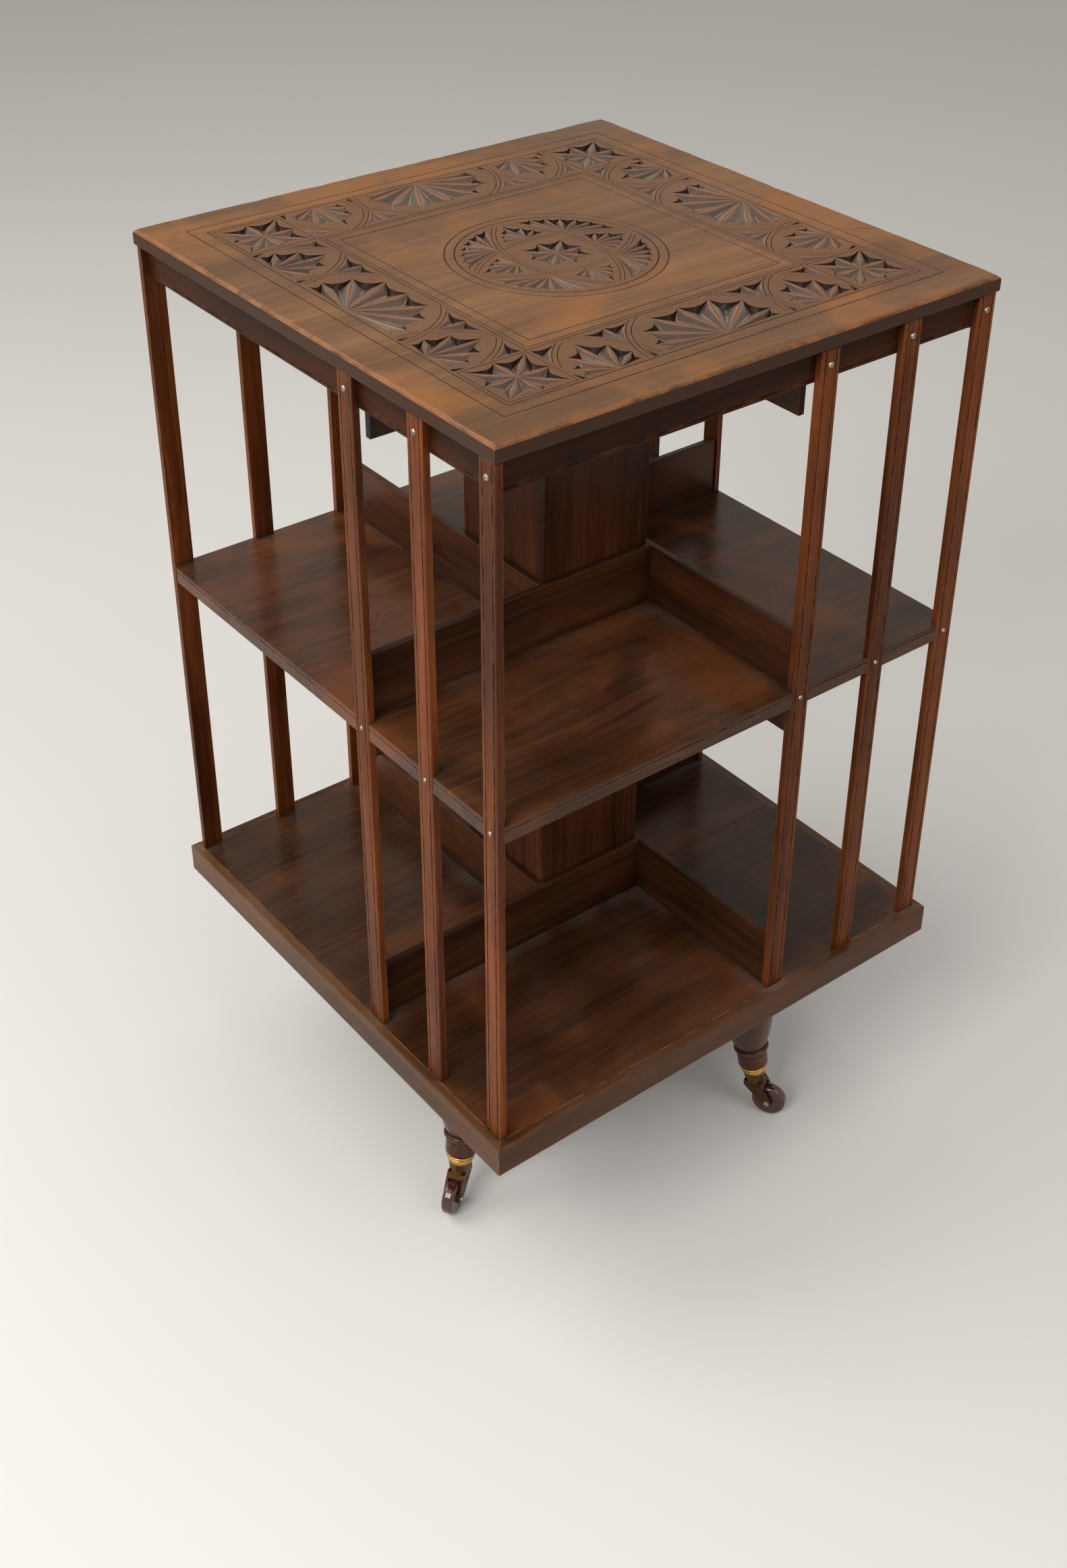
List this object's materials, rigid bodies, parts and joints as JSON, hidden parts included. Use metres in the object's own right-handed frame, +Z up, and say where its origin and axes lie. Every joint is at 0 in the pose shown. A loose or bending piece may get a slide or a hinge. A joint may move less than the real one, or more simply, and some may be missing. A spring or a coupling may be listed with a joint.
{
  "type": "revolving bookcase",
  "caption": "Square two-tier revolving bookcase: slatted open case turning on a spindle over a cross base with turned, splayed legs on swivel castors.",
  "frame": {"origin": "on the floor, at the spindle's axis, in the middle of the square case", "axes": "+Z up along the spindle; -Y out of the front face; +X to the right of that face seen from outside"},
  "size_m": [0.493, 0.493, 0.837],
  "materials": {
    "top_wood": "satin",
    "slat_wood": "satin",
    "dark_wood": "satin",
    "shelf_wood": "gloss",
    "tray_wood": "satin",
    "base_wood": "satin",
    "brass": "aged",
    "steel": "satin",
    "iron": "painted",
    "china": "gloss"
  },
  "bodies": {
    "base": {"base_rail_lower": "base_wood", "base_rail_upper": "base_wood", "spindle": "steel", "spindle_nut": "steel", "leg_1": "base_wood", "leg_2": "base_wood", "leg_3": "base_wood", "leg_4": "base_wood", "ferrules": "brass"},
    "case": {"top_board": "top_wood", "frieze_front": "dark_wood", "frieze_right": "dark_wood", "frieze_back": "dark_wood", "frieze_left": "dark_wood", "slat_front_centre": "slat_wood", "slat_front_middle": "slat_wood", "slat_front_corner": "slat_wood", "slat_right_centre": "slat_wood", "slat_right_middle": "slat_wood", "slat_right_corner": "slat_wood", "slat_back_centre": "slat_wood", "slat_back_middle": "slat_wood", "slat_back_corner": "slat_wood", "slat_left_centre": "slat_wood", "slat_left_middle": "slat_wood", "slat_left_corner": "slat_wood", "middle_shelf": "shelf_wood", "tray_panel": "tray_wood", "tray_lipping_front": "tray_wood", "tray_lipping_right": "tray_wood", "tray_lipping_back": "tray_wood", "tray_lipping_left": "tray_wood", "column_lower_front": "dark_wood", "column_lower_right": "dark_wood", "column_lower_back": "dark_wood", "column_lower_left": "dark_wood", "column_upper_front": "dark_wood", "column_upper_right": "dark_wood", "column_upper_back": "dark_wood", "column_upper_left": "dark_wood", "tray_stop_boards": "shelf_wood", "shelf_hanging_boards": "shelf_wood", "shelf_stop_boards": "shelf_wood", "top_hanging_boards": "shelf_wood", "frieze_screws": "steel", "shelf_screws": "steel", "pivot_cap": "iron", "tray_bush": "brass"},
    "caster_1": {"caster_horn_1": "brass", "caster_axle_1": "steel"},
    "wheel_1": {"caster_wheel_1": "china"},
    "caster_2": {"caster_horn_2": "brass", "caster_axle_2": "steel"},
    "wheel_2": {"caster_wheel_2": "china"},
    "caster_3": {"caster_horn_3": "brass", "caster_axle_3": "steel"},
    "wheel_3": {"caster_wheel_3": "china"},
    "caster_4": {"caster_horn_4": "brass", "caster_axle_4": "steel"},
    "wheel_4": {"caster_wheel_4": "china"}
  },
  "joints": [
    {"name": "case_turn", "type": "hinge", "parent": "base", "child": "case", "pos_m": [0, 0, 0.5], "axis": [0, 0, 1], "continuous": true},
    {"name": "caster_swivel_1", "type": "hinge", "parent": "base", "child": "caster_1", "pos_m": [0.18557, 0.10456, 0.0386], "axis": [0, 0, 1], "continuous": true},
    {"name": "wheel_spin_1", "type": "hinge", "parent": "caster_1", "child": "wheel_1", "pos_m": [0.19907, 0.11217, 0.0165], "axis": [-0.4909, 0.8712, 0], "continuous": true},
    {"name": "caster_swivel_2", "type": "hinge", "parent": "base", "child": "caster_2", "pos_m": [-0.10456, 0.18557, 0.0386], "axis": [0, 0, 1], "continuous": true},
    {"name": "wheel_spin_2", "type": "hinge", "parent": "caster_2", "child": "wheel_2", "pos_m": [-0.11217, 0.19907, 0.0165], "axis": [-0.8712, -0.4909, 0], "continuous": true},
    {"name": "caster_swivel_3", "type": "hinge", "parent": "base", "child": "caster_3", "pos_m": [-0.18557, -0.10456, 0.0386], "axis": [0, 0, 1], "continuous": true},
    {"name": "wheel_spin_3", "type": "hinge", "parent": "caster_3", "child": "wheel_3", "pos_m": [-0.19907, -0.11217, 0.0165], "axis": [0.4909, -0.8712, 0], "continuous": true},
    {"name": "caster_swivel_4", "type": "hinge", "parent": "base", "child": "caster_4", "pos_m": [0.10456, -0.18557, 0.0386], "axis": [0, 0, 1], "continuous": true},
    {"name": "wheel_spin_4", "type": "hinge", "parent": "caster_4", "child": "wheel_4", "pos_m": [0.11217, -0.19907, 0.0165], "axis": [0.8712, 0.4909, 0], "continuous": true}
  ]
}
